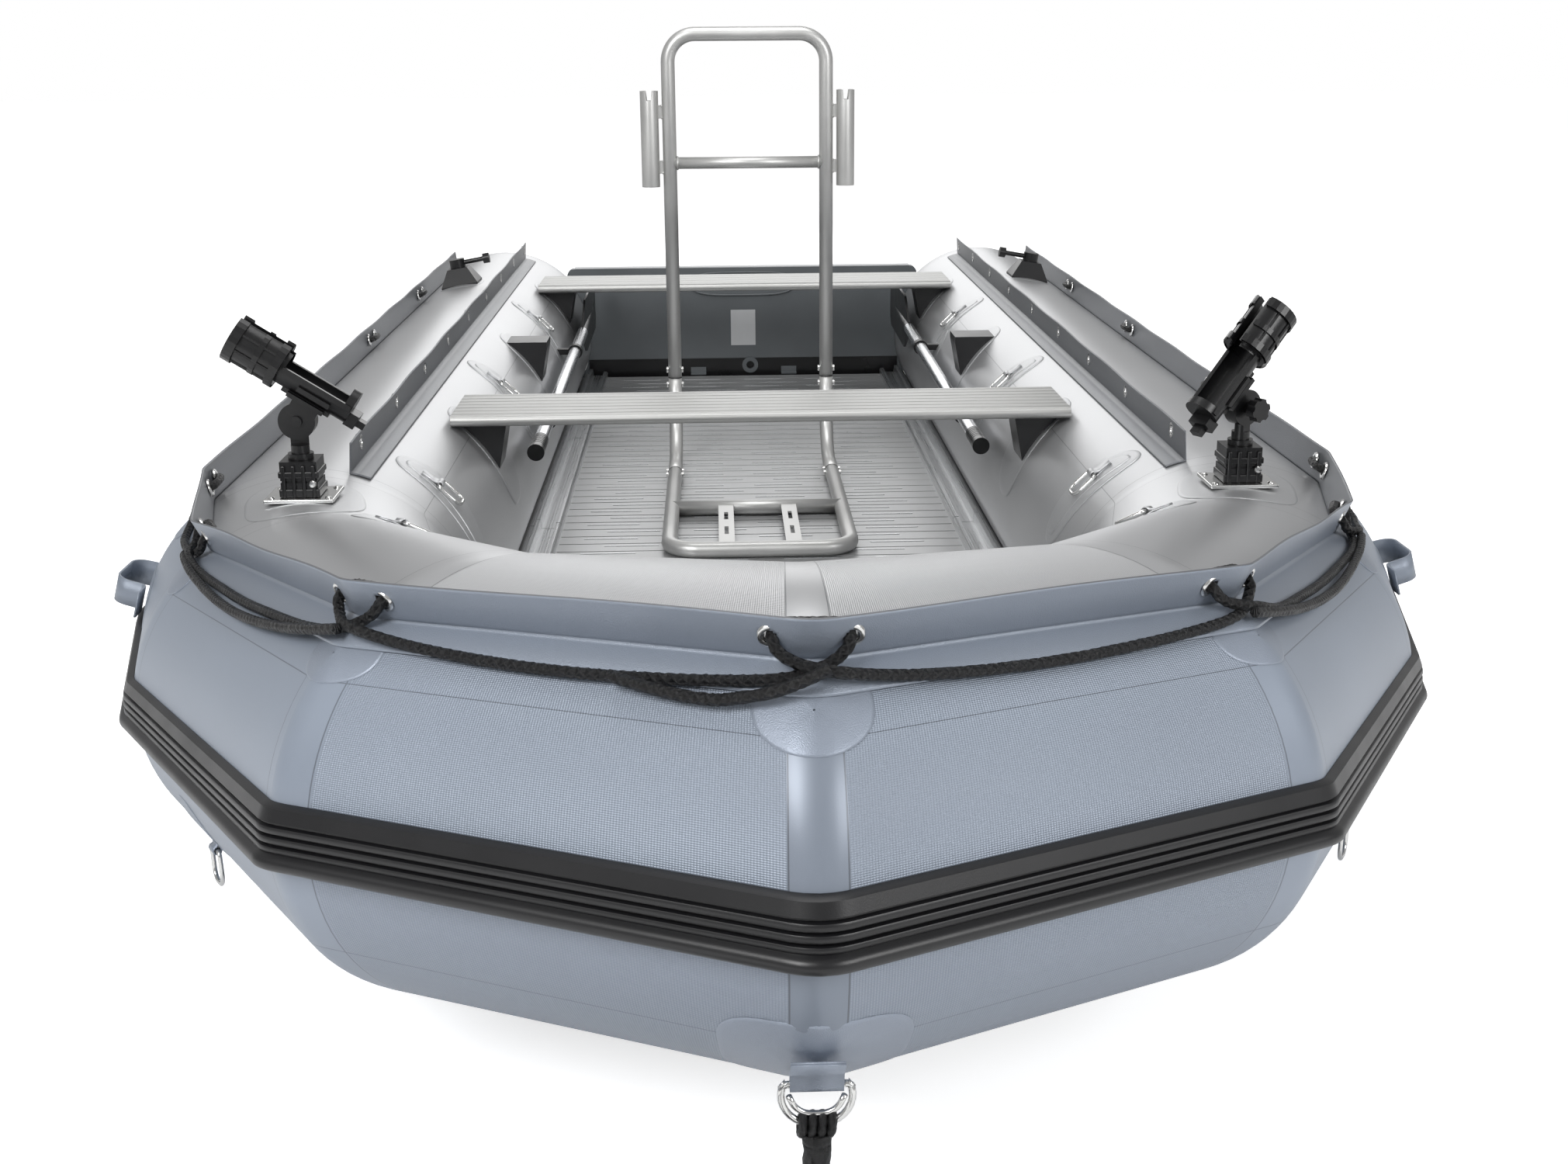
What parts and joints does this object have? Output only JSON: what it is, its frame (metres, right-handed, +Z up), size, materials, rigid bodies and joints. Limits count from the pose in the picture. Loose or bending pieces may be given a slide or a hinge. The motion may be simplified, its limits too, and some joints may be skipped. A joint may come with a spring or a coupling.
{
  "type": "inflatable dinghy",
  "caption": "Inflatable dinghy with a raised faceted bow, metal floor and benches, stowed oars, grab frame, tilting rod holders and a coiled bow line",
  "frame": {"origin": "On the ground under the middle of the boat's length and width, the bow line left out.", "axes": "+X to port (right in the picture, which looks from bow to stern), +Y to the stern, +Z up."},
  "size_m": [2.0116, 4.9943, 1.143],
  "materials": {
    "hull_fabric": "satin coated fabric",
    "bottom_fabric": "satin coated fabric",
    "trim_fabric": "satin coated fabric",
    "black_rubber": "satin",
    "black_plastic": "matte",
    "black_rope": "braided",
    "stainless": "polished",
    "frame_metal": "satin anodised",
    "oar_metal": "bright anodised",
    "oar_plastic": "satin",
    "floor_metal": "ribbed anodised",
    "bench_metal": "lined anodised",
    "transom_board": "painted"
  },
  "bodies": {
    "hull": {"bow_tube": "hull_fabric", "port_tube": "hull_fabric", "starboard_tube": "hull_fabric", "bottom_skin": "bottom_fabric", "air_keel": "bottom_fabric", "rub_rail": "black_rubber", "rope_skirt": "trim_fabric", "inner_flaps": "trim_fabric", "eyelets": "stainless", "grab_rope": "black_rope", "floor_boards": "floor_metal", "floor_stringers": "bench_metal", "transom": "transom_board", "transom_strip": "black_plastic", "motor_pads": "transom_board", "transom_fittings": "black_plastic", "bench_fore": "bench_metal", "bench_aft": "bench_metal", "bench_brackets": "black_rubber", "oar_clips": "black_plastic", "ring_chapes": "trim_fabric", "bow_line": "black_rope", "bow_line_coil": "black_rope", "bow_line_knot": "black_rope", "carry_handles": "trim_fabric", "air_valves": "black_plastic", "oarlock_bases": "black_rubber", "rod_mounts": "black_plastic", "grab_hoop": "frame_metal", "grab_frame_legs": "frame_metal", "grab_frame_foot": "frame_metal", "grab_frame_bolts": "stainless"},
    "inner_ring_port_1": {"inner_ring_port_1": "stainless"},
    "inner_ring_port_2": {"inner_ring_port_2": "stainless"},
    "inner_ring_port_3": {"inner_ring_port_3": "stainless"},
    "bow_top_ring_port": {"bow_top_ring_port": "stainless"},
    "side_ring_port": {"side_ring_port": "stainless"},
    "oar_port": {"oar_port_grip": "oar_plastic", "oar_port_shaft": "oar_metal", "oar_port_blade": "oar_plastic"},
    "oarlock_port": {"oarlock_port": "black_plastic"},
    "rod_swivel_port": {"rod_swivel_port": "black_plastic"},
    "rod_cradle_port": {"rod_cradle_port": "black_plastic"},
    "rod_knob_port": {"rod_knob_port": "black_plastic"},
    "inner_ring_starboard_1": {"inner_ring_starboard_1": "stainless"},
    "inner_ring_starboard_2": {"inner_ring_starboard_2": "stainless"},
    "inner_ring_starboard_3": {"inner_ring_starboard_3": "stainless"},
    "bow_top_ring_starboard": {"bow_top_ring_starboard": "stainless"},
    "side_ring_starboard": {"side_ring_starboard": "stainless"},
    "oar_starboard": {"oar_starboard_grip": "oar_plastic", "oar_starboard_shaft": "oar_metal", "oar_starboard_blade": "oar_plastic"},
    "oarlock_starboard": {"oarlock_starboard": "black_plastic"},
    "rod_swivel_starboard": {"rod_swivel_starboard": "black_plastic"},
    "rod_cradle_starboard": {"rod_cradle_starboard": "black_plastic"},
    "rod_knob_starboard": {"rod_knob_starboard": "black_plastic"},
    "bow_ring": {"bow_ring": "stainless", "bow_line_hitch": "black_rope"},
    "drain_plug": {"drain_plug": "black_plastic"}
  },
  "joints": [
    {"name": "inner_ring_port_1_swing", "type": "hinge", "parent": "hull", "child": "inner_ring_port_1", "pos_m": [0.53112, -0.82558, 0.43523], "axis": [0, 1, 0], "range_deg": [0, 160]},
    {"name": "inner_ring_port_2_swing", "type": "hinge", "parent": "hull", "child": "inner_ring_port_2", "pos_m": [0.53112, 0.07379, 0.43523], "axis": [0, 1, 0], "range_deg": [0, 160]},
    {"name": "inner_ring_port_3_swing", "type": "hinge", "parent": "hull", "child": "inner_ring_port_3", "pos_m": [0.53112, 0.94832, 0.43523], "axis": [0, 1, 0], "range_deg": [0, 160]},
    {"name": "bow_top_ring_port_swing", "type": "hinge", "parent": "hull", "child": "bow_top_ring_port", "pos_m": [0.52396, -1.24217, 0.481], "axis": [0.4619, 0.8723, -0.1607], "range_deg": [0, 160]},
    {"name": "side_ring_port_swing", "type": "hinge", "parent": "hull", "child": "side_ring_port", "pos_m": [0.74491, -1.51692, 0.11808], "axis": [-0.4639, -0.876, 0.1318], "range_deg": [-30, 115]},
    {"name": "inner_ring_starboard_1_swing", "type": "hinge", "parent": "hull", "child": "inner_ring_starboard_1", "pos_m": [-0.53112, -0.82558, 0.43523], "axis": [0, -1, 0], "range_deg": [0, 160]},
    {"name": "inner_ring_starboard_2_swing", "type": "hinge", "parent": "hull", "child": "inner_ring_starboard_2", "pos_m": [-0.53112, 0.07379, 0.43523], "axis": [0, -1, 0], "range_deg": [0, 160]},
    {"name": "inner_ring_starboard_3_swing", "type": "hinge", "parent": "hull", "child": "inner_ring_starboard_3", "pos_m": [-0.53112, 0.94832, 0.43523], "axis": [0, -1, 0], "range_deg": [0, 160]},
    {"name": "bow_top_ring_starboard_swing", "type": "hinge", "parent": "hull", "child": "bow_top_ring_starboard", "pos_m": [-0.52396, -1.24217, 0.481], "axis": [0.4619, -0.8723, 0.1607], "range_deg": [0, 160]},
    {"name": "side_ring_starboard_swing", "type": "hinge", "parent": "hull", "child": "side_ring_starboard", "pos_m": [-0.74491, -1.51692, 0.11808], "axis": [-0.4639, 0.876, -0.1318], "range_deg": [-30, 115]},
    {"name": "bow_ring_swing", "type": "hinge", "parent": "hull", "child": "bow_ring", "pos_m": [0, -2.24573, 0.20469], "axis": [1, 0, 0], "range_deg": [0, 44]},
    {"name": "oarlock_port_turn", "type": "hinge", "parent": "hull", "child": "oarlock_port", "pos_m": [0.75341, 1.17283, 0.4962], "axis": [0.1736, 0, 0.9848], "range_deg": [-60, 60]},
    {"name": "rod_swivel_port_turn", "type": "hinge", "parent": "hull", "child": "rod_swivel_port", "pos_m": [0.67304, -1.16336, 0.5], "axis": [0, 0, 1], "range_deg": [-50, 50]},
    {"name": "rod_cradle_port_tilt", "type": "hinge", "parent": "rod_swivel_port", "child": "rod_cradle_port", "pos_m": [0.67304, -1.16336, 0.612], "axis": [-0.5, 0.866, 0], "range_deg": [-33, 35]},
    {"name": "rod_knob_port_spin", "type": "hinge", "parent": "rod_swivel_port", "child": "rod_knob_port", "pos_m": [0.67304, -1.16336, 0.612], "axis": [-0.5, 0.866, 0], "continuous": true},
    {"name": "oar_port_slide", "type": "slide", "parent": "hull", "child": "oar_port", "axis": [0, -0.9999, -0.013], "range_m": [0, 0.18]},
    {"name": "oarlock_starboard_turn", "type": "hinge", "parent": "hull", "child": "oarlock_starboard", "pos_m": [-0.75341, 1.17283, 0.4962], "axis": [-0.1736, 0, 0.9848], "range_deg": [-60, 60]},
    {"name": "rod_swivel_starboard_turn", "type": "hinge", "parent": "hull", "child": "rod_swivel_starboard", "pos_m": [-0.67304, -1.16336, 0.5], "axis": [0, 0, 1], "range_deg": [-50, 50]},
    {"name": "rod_cradle_starboard_tilt", "type": "hinge", "parent": "rod_swivel_starboard", "child": "rod_cradle_starboard", "pos_m": [-0.67304, -1.16336, 0.612], "axis": [0, -1, 0], "range_deg": [-45, 25]},
    {"name": "rod_knob_starboard_spin", "type": "hinge", "parent": "rod_swivel_starboard", "child": "rod_knob_starboard", "pos_m": [-0.67304, -1.16336, 0.612], "axis": [0, -1, 0], "continuous": true},
    {"name": "oar_starboard_slide", "type": "slide", "parent": "hull", "child": "oar_starboard", "axis": [0, -0.9999, -0.013], "range_m": [0, 0.18]},
    {"name": "drain_plug_pull", "type": "slide", "parent": "hull", "child": "drain_plug", "axis": [0, 1, 0], "range_m": [0, 0.03]}
  ]
}
